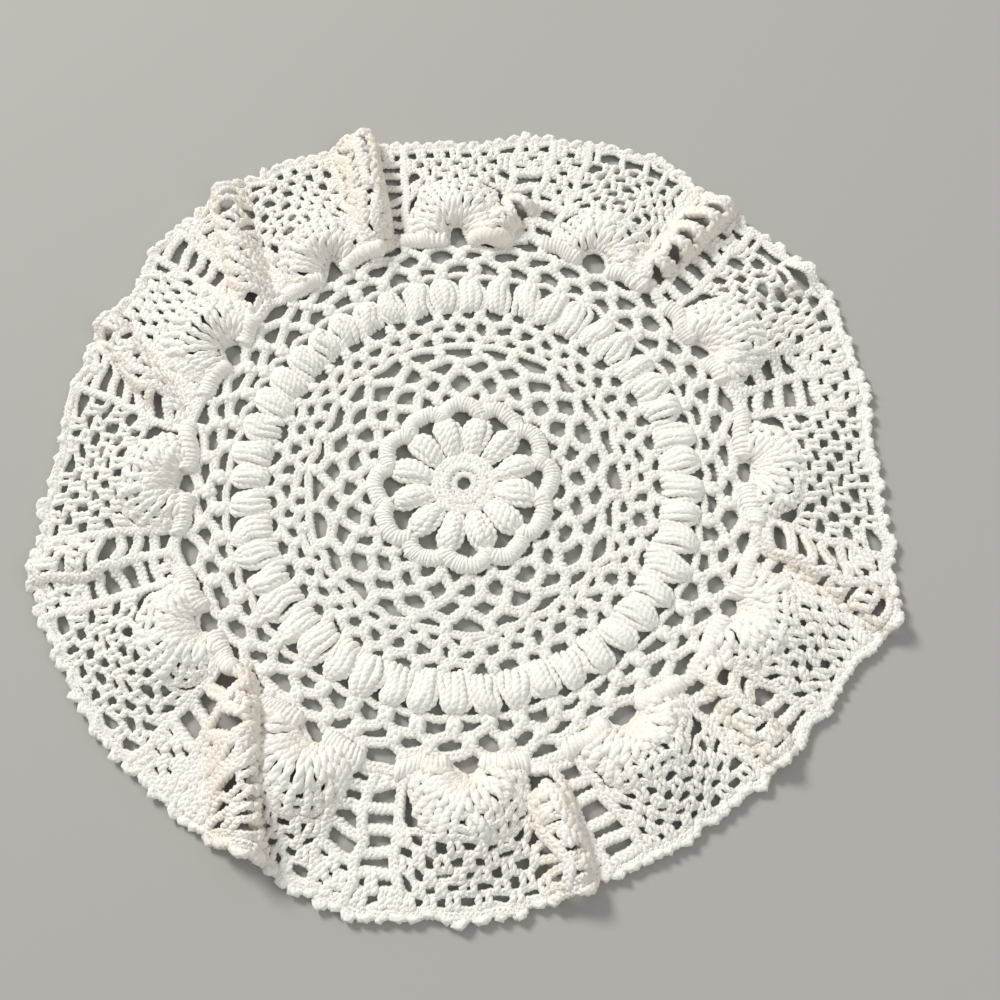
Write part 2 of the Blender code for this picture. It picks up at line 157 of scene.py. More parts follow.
# Domes of the fans, from the middle of the base hole.
DOME_RISE = (2.0, 17.0)     # distances between which a dome rises
DOME_FALL = (16.0, 46.0)    # and distances outward between which it falls
DOME_MOUTH = (-2.0, 6.0)    # outward, where the cloth leaves the even net
DOME_HALF_WIDTH = 25.0
DOME_POWER = 1.5            # how pointed a dome is across

# Shells and meshes of the fans, and ladders between them.
TREBLE_SPREAD = math.radians(73.0)  # from a fan's axis to its outermost treble
TREBLE_COUNT = 14
TREBLE_SHARE = 0.72         # how much of a shell its trebles reach, the rest is caps
CAPS_PER_MM = 0.72          # close stitches on the trebles for each millimetre
SHELL_HALF_WIDTH = 18.5
HOLE_BACK = 5.2             # from the middle of a base hole to its inner edge
HOLE_HALF_WIDTH = 5.6
MESH_SIDE = 0.31            # turns from a fan's axis to the side of its mesh
MESH_CELLS = 6
ROW_HEIGHT = 5.2            # height of a row of mesh made of the usual yarn
ROW_SAG = 0.022             # how far a row swings between stitches, in share
LOOPED_FANS = (1, 2)        # fans whose last row is open loops
LOOPED_SQUEEZE = 0.95       # how far their other rows are pushed in
LADDER_SIDE = 0.5 - MESH_SIDE - 0.005
LADDER_STEP = 7.5           # length of a gap with a rung made of the usual yarn
CLOSE_PITCH = 4.9           # length of a row where a ladder is closed
BUMPS = 190                 # on the edging

# Make-up of a cord: strands, how far they swing sideways and up, their radius, the
# length of one wave, sides, and length of a facet.
KINDS = {
    # name    strands side  up    radius period sides facet
    "chain":  (3,     1.00, 0.45, 0.97,  5.2,   4,    0.95),
    "post":   (2,     0.58, 0.50, 0.95,  4.3,   5,    0.95),
    "treble": (2,     0.50, 0.40, 0.98,  8.0,   5,    1.30),
    "plump":  (2,     0.48, 0.36, 1.05,  3.6,   5,    1.05),
    "core":   (1,     0.00, 0.00, 1.00,  9.0,   8,    1.50),
}
CHAIN_LIFTS = 2.0           # a chain's strands rise twice for each swing, as plaited
PLAN_STEP = 0.9             # distance between the points of a smooth curve
SLOPE_GIRTH = 0.7           # how much thicker cords lie where a fold stands on edge
SLOPE_REACH = 1.8           # how far to both sides the cloth's slope is measured
STEEPEST = 0.05             # least upward part of a slope that is believed
WRAP_ROWS, WRAP_SIDES = 10, 5  # facets of a wrap of yarn, round the cord and the yarn
WRAP_LENGTH = 14.0          # yarn in a wrap
TIP_LENGTH = 0.6            # how far a strand's end stands out, in radii
LOWEST = 0.02               # lowest that yarn lies over the surface

# Rounds of the centre disc, and the stitches between them.
DISC_ROUNDS = (
    # ring girth height
    (3.8,  0.80, 2.4),
    (7.2,  1.10, 2.8),
    (10.9, 1.20, 2.4),
)
DISC_SPOKES = (
    # count lag  rings        heights     girth loose
    (12,    0.0, (3.6, 7.0),  (1.8, 2.3), 1.00, 0.15),
    (24,    0.1, (7.2, 11.6), (2.6, 2.1), 1.05, 0.20),
)

# Petals and popcorns: five stitches over a core, from foot to head. The outermost ones
# lie off turns from the middle one, which is higher by bend. lean says where all lean.
PETAL_CORE = np.array((
    # ring lean height girth
    (13.5, 0.0, 2.0,   2.0),
    (17.0, 0.0, 2.6,   3.0),
    (22.5, 0.0, 2.8,   3.4),
    (26.5, 0.0, 2.3,   2.2),
))
PETAL_STITCH = np.array((
    # ring off    lean height bend girth
    (12.2, 0.200, 0.0, 2.0,   0.0, 0.95),
    (15.2, 0.330, 0.0, 1.2,   2.8, 1.05),
    (19.5, 0.345, 1.0, 1.2,   4.0, 1.20),
    (24.2, 0.300, 1.0, 1.2,   3.9, 1.25),
    (28.0, 0.120, 0.0, 2.4,   0.0, 1.00),
))
POPCORN_CORE = np.array((
    # ring lean height girth
    (78.5, 0.0, 2.2,   2.4),
    (82.0, 0.0, 2.7,   3.5),
    (86.5, 0.0, 2.8,   3.5),
    (88.8, 1.0, 2.5,   2.4),
))
POPCORN_STITCH = np.array((
    # ring off    lean height bend girth
    (75.8, 0.098, 0.0, 2.0,   0.0, 0.95),
    (78.6, 0.106, 0.0, 1.2,   3.2, 1.10),
    (83.5, 0.100, 0.0, 1.2,   4.1, 1.20),
    (87.6, 0.080, 1.0, 1.2,   3.8, 1.20),
    (90.4, 0.026, 1.0, 2.8,   0.0, 1.00),
))
CLUSTER = (-1.0, -0.5, 0.0, 0.5, 1.0)
CLUSTER_BEND = 0.45         # how much of bend the outermost stitches lack
POPCORN_CHAIN = 91.8        # ring of the chain that ties the popcorns' heads

# Rounds of the nets, from the inside. Loops run from their ring out to the far ring and
# back. The stubs that hold them have half their length in place of the far ring.
WIDE_NET = (
    # kind    first ring  far    height girth
    ("loops", 0.0,  37.4, 41.3,  1.9,   1.2),
    ("stubs", 0.0,  37.2, 2.6,   2.3,   1.3),
    ("loops", 0.25, 45.0, 49.0,  2.0,   1.2),
    ("stubs", 0.25, 43.4, 3.6,   2.3,   1.35),
    ("loops", 0.0,  52.2, 55.4,  2.0,   1.2),
    ("stubs", 0.0,  50.8, 3.4,   2.3,   1.35),
    ("stubs", 0.25, 57.8, 2.9,   2.3,   1.35),
)
DENSE_NET = (
    ("loops", 0.0,   63.8, 65.8, 1.9,   1.05),
    ("stubs", 0.0,   62.8, 2.0,  2.0,   1.35),
    ("loops", 0.125, 69.8, 71.9, 1.9,   1.15),
    ("stubs", 0.125, 68.2, 2.3,  2.0,   1.35),
    ("stubs", 0.0,   73.9, 2.8,  2.1,   1.3),
)
OUTER_NET = (
    ("stubs", 0.125, 94.6,  2.9,   2.3, 1.65),
    ("loops", 0.125, 96.4,  99.2,  2.0, 1.15),
    ("stubs", 0.0,   101.2, 3.0,   2.3, 1.60),
    ("loops", 0.0,   102.8, 105.8, 2.0, 1.15),
    ("stubs", 0.125, 107.0, 2.8,   2.3, 1.3),
)
CLOSE_ROUND = 60.4          # ring of the close round on the wide net

# Shapes of ribbed bands: an arch round a petal, and half a band from fan to fan.
ARCH_OFFS = np.array((-0.52, -0.44, -0.28, 0.0, 0.28, 0.44, 0.52))
ARCH_RINGS = np.array((29.4, 31.0, 32.9, 33.8, 32.9, 31.0, 29.4))
BAND_OFFS = np.array((0.395, 0.35, 0.30, 0.24, 0.18, 0.12))
BAND_RISE = np.array((-2.0, -1.0, -0.2, 0.3, 0.4, 0.4))
CORE_SPARE = 0.25           # how far a band's core fills its wraps
WRAP_JOLT = 0.12            # unevenness of the wraps

# Chains across a fan's shell: the share of its reach where they lie, and their height.
SHELL_CHAINS = ((0.71, 3.0), (0.87, 2.9), (1.0, 2.3))


# ------------------------ the laid pattern

def smooth(low, high, value):
    """Ease from 0 at low to 1 at high."""
    part = np.clip((value - low) / (high - low), 0.0, 1.0)
    return part * part * (3.0 - 2.0 * part)


def mix(first, second, share):
    """Go a share of the way from the first to the second."""
    return first + (second - first) * share


def split(turn):
    """Give a turn's whole part and the rest, its fan, and the fan after it."""
    whole = np.floor(turn).astype(int)
    return whole, turn - whole, whole % SECTORS, (whole + 1) % SECTORS


def along_turns(turn, on_axis, on_spine):
    """Read what is on_axis[k] on fan k's axis and on_spine[k] on the spine after it."""
    _, part, here, after = split(turn)
    near = mix(on_axis[here], on_spine[here], smooth(0.0, 0.5, part))
    far = mix(on_spine[here], on_axis[after], smooth(0.5, 1.0, part))
    return np.where(part < 0.5, near, far)


def fan_angle(turn, ring):
    """Give the laid angle of a turn out among the fans, in degrees."""
    whole, part, here, after = split(turn)
    wrap = np.where(AXIS[after] < AXIS[here], 360.0, 0.0)
    spine = mix(INNER[here], OUTER[here], smooth(BASE_RING, EDGE_RING, ring))
    zone = ZONE_SQUEEZE * 360.0 / SECTORS
    rising = mix(AXIS[here], spine - zone, part / FAN_SIDE)
    across = mix(spine - zone, spine + zone, (part - FAN_SIDE) / (1.0 - 2.0 * FAN_SIDE))
    falling = mix(spine + zone, AXIS[after] + wrap, (part - 1.0 + FAN_SIDE) / FAN_SIDE)
    angle = np.where(part < FAN_SIDE, rising, np.where(part < 1.0 - FAN_SIDE, across, falling))
    return angle + 360.0 * (whole // SECTORS)


def laid(turn, ring):
    """Give the laid places (x, y) of stitches at turns and rings."""
    turn, ring = np.broadcast_arrays(np.asarray(turn, float), np.asarray(ring, float))
    even = turn * 360.0 / SECTORS + PATTERN_LAG
    angle = np.radians(mix(even, fan_angle(turn, ring), smooth(*FAN_ZONE, ring)))
    base = along_turns(turn, BASE, 0.5 * (BASE + np.roll(BASE, -1)))
    edge = along_turns(turn, TIP, CORNER)
    drift = POPCORN_DRIFT[0] * np.cos(angle) + POPCORN_DRIFT[1] * np.sin(angle)
    popcorn = POPCORN_MID + drift
    inner = mix(BAND_EDGE, popcorn, (ring - BAND_EDGE) / (POPCORN_MID - BAND_EDGE))
    middle = mix(popcorn, base, (ring - POPCORN_MID) / (BASE_RING - POPCORN_MID))
    outer = mix(base, edge, (ring - BASE_RING) / (EDGE_RING - BASE_RING))
    radius = np.where(ring < BAND_EDGE, ring,
                      np.where(ring < POPCORN_MID, inner,
                               np.where(ring < BASE_RING, middle, outer)))
    return np.stack((radius * np.cos(angle), radius * np.sin(angle)), -1)


def dome_lift(x, y):
    """Give how far the fans' domes hold the cloth up at each place."""
    lift = np.zeros_like(x)
    for axis, base, dome in zip(np.radians(AXIS), BASE, DOME):
        out = x * math.cos(axis) + y * math.sin(axis) - base
        side = y * math.cos(axis) - x * math.sin(axis)
        rise = smooth(*DOME_RISE, np.hypot(out, side)) * smooth(*DOME_FALL[::-1], out)
        across = np.cos(0.5 * np.pi * np.clip(side / DOME_HALF_WIDTH, -1.0, 1.0)) ** DOME_POWER
        lift = np.maximum(lift, dome * rise * across * smooth(*DOME_MOUTH, out))
    return lift


def fold_lift(x, y):
    """Give the lift of the pleats at each place, and the sideways shift that they bring."""
    lift, shift_x, shift_y = np.zeros_like(x), np.zeros_like(x), np.zeros_like(x)
    for inner_deg, inner_mm, outer_deg, outer_mm, height, half_width, lean in FOLDS:
        first, last = math.radians(inner_deg), math.radians(outer_deg)
        start = np.array((inner_mm * math.cos(first), inner_mm * math.sin(first)))
        run = np.array((outer_mm * math.cos(last), outer_mm * math.sin(last))) - start
        length = float(np.hypot(*run))
        share = ((x - start[0]) * run[0] + (y - start[1]) * run[1]) / length ** 2
        side = (run[0] * (y - start[1]) - run[1] * (x - start[0])) / length
        ends = smooth(*FOLD_RISE, share) * (1.0 - FOLD_LOSS * smooth(*FOLD_SINK, share))
        ends = np.where((share > FOLD_RISE[0]) & (share < FOLD_STOP), ends, 0.0)
        profile = np.cos(0.5 * np.pi * np.clip(side / half_width, -1.0, 1.0)) ** 2
        here = height * ends * profile
        lift += here
        shift_x -= here * lean * run[1] / length
        shift_y += here * lean * run[0] / length
    return lift, shift_x, shift_y


def underside(plan):
    """Give the underside of the laid cloth over places (x, y)."""
    x, y = plan[..., 0], plan[..., 1]
    domed = dome_lift(x, y)
    folded, shift_x, shift_y = fold_lift(x, y)
    lift = np.cbrt(domed ** 3 + folded ** 3)
    return np.stack((x + shift_x, y + shift_y, lift), -1)


# Unevenness of the hand: waves (x and y per millimetre, phase, sway x, sway y) that
# pull neighbouring stitches the same way.
WAVER = (
    (0.210,  0.130, 0.4,  0.50,  0.30),
    (-0.170, 0.260, 1.9, -0.35,  0.45),
    (0.390, -0.220, 3.1,  0.38,  0.30),
    (0.120,  0.450, 5.0, -0.36,  0.32),
    (0.520,  0.310, 2.2,  0.24, -0.30),
    (-0.480, 0.420, 0.9,  0.26,  0.22),
)


def wavered(plan):
    """Shift places (x, y) by the unevenness of the hand."""
    x, y = plan[..., 0], plan[..., 1]
    pull = smooth(*WAVER_ZONE, np.hypot(x, y))
    shift = np.zeros_like(plan)
    for wave_x, wave_y, phase, sway_x, sway_y in WAVER:
        wave = np.sin(wave_x * x + wave_y * y + phase) * pull
        shift[..., 0] += sway_x * wave
        shift[..., 1] += sway_y * wave
    return plan + shift


def unit(vectors):
    """Give vectors the length 1."""
    return vectors / np.maximum(np.linalg.norm(vectors, axis=-1, keepdims=True), 1e-9)


def reaches(places):
    """Give how far along a row each of its places lies."""
    gaps = np.linalg.norm(np.diff(places, axis=0), axis=1)
    return np.concatenate(((0.0,), np.cumsum(gaps)))


def read_off(at, reach, places):
    """Give the places at some distances along a row."""
    return np.stack([np.interp(at, reach, column) for column in places.T], -1)


def upright(plan):
    """Give the direction that the cloth's upper face looks in over places (x, y)."""
    step_x, step_y = np.array((SLOPE_REACH, 0.0)), np.array((0.0, SLOPE_REACH))
    across = underside(plan + step_x) - underside(plan - step_x)
    along = underside(plan + step_y) - underside(plan - step_y)
    face = unit(np.cross(across, along))
    return np.where(face[..., 2:] > STEEPEST, face, (0.0, 0.0, 1.0))


def add_object(name, data):
    """Put an object of some data in the scene."""
    thing = bpy.data.objects.new(name, data)
    bpy.context.scene.collection.objects.link(thing)
    return thing


# ------------------------ cords to meshes

def spline(points, closed):
    """Run a smooth curve through rows of (x, y, height, girth)."""
    if closed:
        padded = np.concatenate((points[-1:], points, points[:2]))
    else:
        before = 2.0 * points[:1] - points[1:2]
        after = 2.0 * points[-1:] - points[-2:-1]
        padded = np.concatenate((before, points, after))
    rows = []
    for a, b, c, d in zip(padded, padded[1:], padded[2:], padded[3:]):
        count = max(1, int(round(float(np.linalg.norm(c[:3] - b[:3])) / PLAN_STEP)))
        t = (np.arange(count) / count)[:, None]
        rows.append(0.5 * (2.0 * b + (c - a) * t + (2.0 * a - 5.0 * b + 4.0 * c - d) * t ** 2
                           + (3.0 * b - a - 3.0 * c + d) * t ** 3))
    if not closed:
        rows.append(points[-1:])
    return np.concatenate(rows)


class Crochet:
    """Collects the cords and loops of one piece and makes them into one mesh."""

    def __init__(self, name, seed):
        self.name = name
        self.random = np.random.default_rng(seed)
        self.cords = []
        self.loops = []
        self.vertices = []
        self.painted_shades = []
        self.quads = []
        self.quad_uvs = []
        self.count = 0

    def cord(self, kind, plan, height, girth, closed=False, loose=0.2, squash=1.0):
        """Add a cord through places (x, y), its middle at a height over the cloth's underside.

        loose is how far its points stray, and squash flattens its section.
        """
        plan = np.asarray(plan, float)
        rows = len(plan)
        wander = self.random.normal(0.0, loose, (rows, 3))
        points = np.empty((rows, 4))
        points[:, :2] = plan + wander[:, :2]
        points[:, 2] = np.broadcast_to(height, rows) + 0.6 * wander[:, 2]
        points[:, 3] = np.broadcast_to(girth, rows)
        self.cords.append((kind, points, closed, float(self.random.random()), squash))

    def run(self, kind, turns, rings, height, girth, closed=False, loose=0.2):
        """Add a cord through turns and rings."""
        self.cord(kind, laid(turns, rings), height, girth, closed, loose)

    def loop(self, plan, heading, half_long, half_high, height, radius, slant):
        """Add a wrap of yarn round a cord that runs the way of heading, half_long across it."""
        self.loops.append((plan[0], plan[1], heading[0], heading[1], half_long, half_high,
                           height, radius, slant))

    def tube(self, middle, aim, radius, sides, closed, painted_shade, length, flat=1.0):
        """Make tubes along rows of points: middle is (tubes, rows, 3), radius (tubes, rows).

        flat squeezes their section along aim. Each point also carries how steep the cloth is
        there, which the material paints as shade on the folds.
        """
        tubes, rows = middle.shape[:2]
        if closed:
            forward = np.roll(middle, -1, 1) - np.roll(middle, 1, 1)
        else:
            forward = np.gradient(middle, axis=1)
        forward = unit(forward)
        first = unit(aim - forward * np.sum(aim * forward, -1, keepdims=True))
        second = np.cross(forward, first)
        turn = 2.0 * np.pi * np.arange(sides) / sides
        ring = (first[:, :, None] * flat * np.cos(turn)[:, None]
                + second[:, :, None] * np.sin(turn)[:, None])
        spots = middle[:, :, None] + ring * radius[:, :, None, None]
        grid = self.count + np.arange(tubes * rows * sides).reshape(tubes, rows, sides)
        self.vertices.append(spots.reshape(-1, 3))
        self.painted_shades.append(np.repeat(painted_shade, sides))
        self.count += grid.size
        after = np.roll(grid, -1, 1) if closed else grid[:, 1:]
        here = grid if closed else grid[:, :-1]
        quads = np.stack((here, np.roll(here, -1, 2), np.roll(after, -1, 2), after), -1)
        self.quads.append(quads.reshape(-1, 4))
        around = np.arange(sides) / sides
        spans = rows if closed else rows - 1
        along = np.arange(spans) * length / spans
        stride = length / spans
        uv = np.empty((tubes, spans, sides, 4, 2))
        uv[..., 0, 0] = uv[..., 3, 0] = around
        uv[..., 1, 0] = uv[..., 2, 0] = around + 1.0 / sides
        uv[..., 0, 1] = uv[..., 1, 1] = along[:, None]
        uv[..., 2, 1] = uv[..., 3, 1] = along[:, None] + stride
        self.quad_uvs.append(uv.reshape(-1, 4, 2))
        if not closed:
            self.cap(middle, forward, radius, grid, painted_shade)

    def cap(self, middle, forward, radius, grid, painted_shade):
        """Close the ends of open tubes with a low point."""
        sides = grid.shape[2]
        for end, way in ((0, -1.0), (-1, 1.0)):
            tip = middle[:, end] + forward[:, end] * radius[:, end, None] * TIP_LENGTH * way
            index = self.count + np.arange(len(tip))
            self.vertices.append(tip)
            self.painted_shades.append(painted_shade[:, end])
            self.count += len(tip)
            rim = grid[:, end]
            tips = np.broadcast_to(index[:, None], rim.shape)
            pair = (rim, np.roll(rim, -1, 1)) if way > 0.0 else (np.roll(rim, -1, 1), rim)
            quads = np.stack((*pair, tips, tips), -1)
            self.quads.append(quads.reshape(-1, 4))
            self.quad_uvs.append(np.zeros((len(tip) * sides, 4, 2)))

    def spin_cords(self):
        """Lay every cord on the folds and twist or plait its strands."""
        curves = [spline(points, closed) for _, points, closed, _, _ in self.cords]
        splits = np.cumsum([len(curve) for curve in curves])[:-1]
        whole = np.concatenate(curves)
        whole[:, :2] = wavered(whole[:, :2])
        foot = underside(whole[:, :2])
        up = upright(whole[:, :2])
        middle = foot + up * whole[:, 2:3]
        steep = 1.0 - up[:, 2]
        parts = zip(self.cords, np.split(middle, splits), np.split(up, splits),
                    np.split(whole[:, 3] * (1.0 + SLOPE_GIRTH * steep), splits),
                    np.split(steep, splits))
        for (kind, _, closed, phase, squash), places, ups, girths, shade_on_folds in parts:
            if closed:
                places = np.concatenate((places, places[:1]))
                ups = np.concatenate((ups, ups[:1]))
                girths = np.append(girths, girths[0])
                shade_on_folds = np.append(shade_on_folds, shade_on_folds[0])
            reach = reaches(places)
            length = float(reach[-1])
            strands, swing, rise, thick, period, sides, facet = KINDS[kind]
            rows = max(4, int(round(length / facet)) + 1)
            at = np.linspace(0.0, length, rows)
            if closed:
                at = at[:-1]
            place = read_off(at, reach, places)
            ups = unit(read_off(at, reach, ups))
            girth = np.interp(at, reach, girths)
            # steepness of the cloth along the cord, painted as shade on the folds by the
            # material
            painted_shade = np.interp(at, reach, shade_on_folds)
            waves = length / (period * float(girth.mean()))
            if closed:
                waves = max(1.0, round(waves))
                ahead = np.roll(place, -1, 0) - np.roll(place, 1, 0)
            else:
                ahead = np.gradient(place, axis=0)
            side = unit(np.cross(ups, unit(ahead)))
            ups = unit(np.cross(unit(ahead), side))
            step = np.arange(strands)[:, None] / strands
            wave = 2.0 * np.pi * (waves * at / length + step + (0.0 if closed else phase))
            if kind == "chain":
                sway, heave = np.sin(wave), np.sin(CHAIN_LIFTS * wave)
            else:
                sway, heave = np.cos(wave), np.sin(wave)
            sway = sway * swing * girth
            heave = heave * rise * girth
            strand = place + side * sway[..., None] + ups * heave[..., None]
            radius = np.broadcast_to(thick * girth, strand.shape[:2])
            aim = np.broadcast_to(ups, strand.shape)
            painted_shade = np.broadcast_to(painted_shade, strand.shape[:2])
            self.tube(strand, aim, radius, sides, closed, painted_shade, length, squash)

    def spin_loops(self):
        """Lay every wrap of yarn on the folds, as a flattened ring."""
        if not self.loops:
            return
        table = np.array(self.loops)
        plan = wavered(table[:, 0:2])
        up = upright(plan)
        middle = underside(plan) + up * table[:, 6:7]
        heading = np.concatenate((table[:, 2:4], np.zeros((len(table), 1))), 1)
        axis = unit(heading - up * np.sum(heading * up, -1, keepdims=True))
        across = np.cross(up, axis)
        angle = 2.0 * np.pi * np.arange(WRAP_ROWS) / WRAP_ROWS
        long_part = across[:, None] * (table[:, 4:5] * np.cos(angle))[..., None]
        high_part = up[:, None] * (table[:, 5:6] * np.sin(angle))[..., None]
        lean_part = axis[:, None] * (table[:, 8:9] * np.cos(angle))[..., None]
        rings = middle[:, None] + long_part + high_part + lean_part
        radius = np.broadcast_to(table[:, 7:8], rings.shape[:2])
        aim = np.broadcast_to(axis[:, None], rings.shape)
        # steepness of the cloth at each wrap, painted as shade on the folds by the material
        painted_shade = np.broadcast_to((1.0 - up[:, 2])[:, None], rings.shape[:2])
        self.tube(rings, aim, radius, WRAP_SIDES, True, painted_shade, WRAP_LENGTH)

    def make(self, material):
        """Make the piece's mesh object."""
        self.spin_cords()
        self.spin_loops()
        places = np.concatenate(self.vertices)
        places[:, :2] += np.array(CENTRE_HOLE_AT)
        places[:, 2] = np.maximum(places[:, 2], LOWEST)
        quads = np.concatenate(self.quads)
        uvs = np.concatenate(self.quad_uvs)
        three = quads[:, 2] == quads[:, 3]
        order = np.argsort(three, kind="stable")
        quads, uvs, three = quads[order], uvs[order], three[order]
        keep = np.ones(quads.shape, bool)
        keep[three, 3] = False
        sizes = np.where(three, 3, 4)
        corners = quads[keep]
        mesh = bpy.data.meshes.new(self.name)
        mesh.vertices.add(len(places))
        mesh.vertices.foreach_set("co", (places * MM).astype(np.float32).ravel())
        mesh.loops.add(len(corners))
        mesh.loops.foreach_set("vertex_index", corners.astype(np.int32))
        mesh.polygons.add(len(quads))
        starts = np.cumsum(sizes) - sizes
        mesh.polygons.foreach_set("loop_start", starts.astype(np.int32))
        layer = mesh.uv_layers.new(name="yarn")
        layer.data.foreach_set("uv", uvs[keep].astype(np.float32).ravel())
        # steepness of the cloth at each point, which the material paints as shade on the folds
        shade_layer = mesh.attributes.new("shade_on_folds", "FLOAT", "POINT")
        shade_layer.data.foreach_set("value", np.concatenate(self.painted_shades).astype(np.float32))
        mesh.update(calc_edges=True)
        mesh.shade_smooth()
        mesh.materials.append(material)
        return add_object(self.name, mesh)


# ------------------------ the pattern's rounds

def band(crochet, plan, half_width, half_high, height, pitch, radius, slant=0.5):
    """A chain loop covered with close stitches: a soft core and a wrap of yarn each pitch."""
    core = half_width + CORE_SPARE
    crochet.cord("core", plan, height, core, loose=0.0, squash=(half_high + CORE_SPARE) / core)
    reach = reaches(plan)
    count = max(2, int(round(reach[-1] / pitch)))
    for step in range(count):
        at = (step + 0.5) * reach[-1] / count
        ahead = read_off(at + 0.5, reach, plan) - read_off(at - 0.5, reach, plan)
        heading = ahead / max(float(np.hypot(*ahead)), 1e-6)
        jolt = crochet.random.normal(0.0, WRAP_JOLT, 3)
        place = read_off(at, reach, plan) + jolt[:2]
        crochet.loop(place, heading, half_width + jolt[2], half_high, height, radius,
                     slant + jolt[0])


def stub(crochet, turn, ring, half_long, height, girth):
    """Stitches that hold a loop on the one below: a short thick stub across both."""
    place = laid(turn, ring)
    outward = unit(laid(turn, ring + 1.0) - place)
    place = place + crochet.random.normal(0.0, 0.25, 2)
    plan = place + outward * half_long * np.array((-1.0, -0.35, 0.35, 1.0))[:, None]
    crochet.cord("chain", plan, (height - 0.6, height, height, height - 0.6),
                 girth * np.array((0.8, 1.05, 1.05, 0.8)), loose=0.12)


def chain_loop(crochet, turn, width, near, far, height, girth):
    """A chain loop from a turn on, its ends on the near ring and its middle on the far one."""
    turns = turn + width * np.array((0.0, 0.2, 0.5, 0.8, 1.0))
    rings = near + (far - near) * np.array((0.0, 0.55, 1.0, 0.55, 0.0))
    lifts = height + np.array((0.5, 0.1, 0.0, 0.1, 0.5))
    crochet.run("chain", turns, rings, lifts, girth, loose=0.25)


def net(name, seed, width, rounds):
    """A net of rounds of chain loops, each width turns wide, and stubs that hold them."""
    piece = Crochet(name, seed)
    for kind, first, ring, far, height, girth in rounds:
        for number in range(int(round(SECTORS / width))):
            turn = first + number * width
            if kind == "loops":
                chain_loop(piece, turn, width, ring, far, height, girth)
            else:
                stub(piece, turn, ring, far, height, girth)
    return piece


def rosette():
    """Centre disc, twelve petals and the twelve ribbed arches around them."""
    piece = Crochet("centre_rosette", 11)
    for ring, girth, height in DISC_ROUNDS:
        turns = np.arange(SECTORS) + 0.3
        piece.run("chain", turns, ring, height, girth, closed=True, loose=0.1)
    for count, lag, rings, heights, girth, loose in DISC_SPOKES:
        for step in range(count):
            turn = step * SECTORS / count + lag
            piece.run("post", turn, rings, heights, girth, loose=loose)
    for sector in range(SECTORS):
        petal(piece, sector + 0.5)
        rings = ARCH_RINGS + piece.random.normal(0.0, 0.3)
        height = 3.0 + 0.5 * (sector % 2)
        band(piece, laid(sector + ARCH_OFFS, rings), 2.9, 2.2, height, pitch=1.3, radius=0.78)
    return piece


def cluster(piece, kind, turn, core, stitch, wide, plump, twist, head, loose):
    """Five stitches drawn together over a core. head is how much further out they end."""
    ring, lean, height, girth = core.T
    piece.run("core", turn + lean * twist, ring, height, girth, loose=0.1)
    ring, off, lean, height, bend, girth = stitch.T
    ring = np.append(ring[:-1], ring[-1] + head)
    for across in CLUSTER:
        turns = turn + off * (across * wide) + lean * twist
        heights = height + bend * ((1.0 - CLUSTER_BEND * across * across) * plump)
        piece.run(kind, turns, ring, heights, girth, loose=loose)


def petal(piece, turn):
    """A petal that starts on the disc and closes under the arches."""
    wide = piece.random.normal(1.0, 0.06)
    twist = piece.random.normal(0.0, 0.02)
    cluster(piece, "post", turn, PETAL_CORE, PETAL_STITCH, wide, 1.0, twist, 0.0, loose=0.30)


def wide_net():
    """Three rounds of twenty-four chain loops and the close round on them."""
    piece = net("wide_net", 23, 0.5, WIDE_NET)
    turns = np.arange(0.0, SECTORS - 0.01, 0.25)
    piece.run("chain", turns, CLOSE_ROUND, 2.0, 1.0, closed=True)
    return piece


def popcorn_round():
    """Forty-eight popcorn stitches and the chain that ties their heads."""
    piece = Crochet("popcorn_round", 41)
    for number in range(4 * SECTORS):
        popcorn(piece, 0.125 + 0.25 * number + piece.random.normal(0.0, 0.008))
    turns = np.arange(0.0, SECTORS - 0.01, 0.125)
    rings = POPCORN_CHAIN + 0.5 * np.cos(8.0 * np.pi * turns)
    piece.run("chain", turns, rings, 2.2, 0.9, closed=True)
    return piece


def popcorn(piece, turn):
    """A popcorn between the dense net and the outer one."""
    plump = 1.0 + piece.random.normal(0.0, 0.05)
    twist = piece.random.normal(0.0, 0.010)
    head = piece.random.normal(0.0, 0.4)
    cluster(piece, "plump", turn, POPCORN_CORE, POPCORN_STITCH, plump, plump, twist, head,
            loose=0.25)


def fan_frame(sector):
    """Give the middle of a fan's base hole and the fan's outward and sideward directions."""
    middle = laid(float(sector), BASE_RING)
    outward = unit(middle)
    return middle, outward, np.array((-outward[1], outward[0]))


def shell_reach(sector, angle):
    """Give how far a fan's trebles reach at an angle from its axis: a round-shouldered shell."""
    along = np.abs(np.cos(angle)) / TREBLES[sector]
    across = np.abs(np.sin(angle)) / SHELL_HALF_WIDTH
    return (along ** 3 + across ** 3) ** (-1.0 / 3.0)


def fan_place(sector, across, share):
    """Give a place in a fan's mesh: across from -1 to 1, share from 0 at the trebles to 1."""
    across, share = np.broadcast_arrays(np.asarray(across, float), np.asarray(share, float))
    reach = TREBLES[sector] * (1.0 - 0.25 * np.abs(across) ** 3) + 1.0
    start = BASE_RING + reach * (EDGE_RING - BASE_RING) / (TIP[sector] - BASE[sector])
    return laid(sector + MESH_SIDE * across, mix(start, MESH_END, share))


